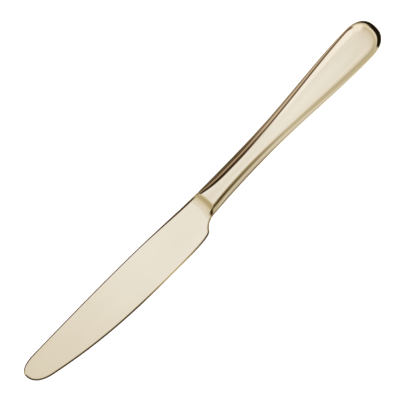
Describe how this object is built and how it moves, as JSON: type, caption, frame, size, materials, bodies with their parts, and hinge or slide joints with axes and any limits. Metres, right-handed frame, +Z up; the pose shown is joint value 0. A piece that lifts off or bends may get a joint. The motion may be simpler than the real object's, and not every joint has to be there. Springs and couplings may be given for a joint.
{
  "type": "table knife",
  "caption": "Round-tipped table knife with a ramped bolster and a slender hollow handle of two brazed half shells that swells to a broad rounded end.",
  "frame": {"origin": "middle of the knife's box in X and Y, on the surface that its handle lies on", "axes": "+X along the knife towards the blade's tip, +Y towards the cutting edge, +Z up out of the flat face"},
  "size_m": [0.235, 0.0216, 0.007],
  "materials": {
    "blade_steel": "gloss",
    "handle_steel": "gloss",
    "braze": "satin",
    "cement": "matte"
  },
  "bodies": {
    "root": {"blade": "blade_steel", "handle_shell_top": "handle_steel", "handle_shell_bottom": "handle_steel", "seam_braze": "braze", "tang_cement": "cement"}
  },
  "joints": []
}
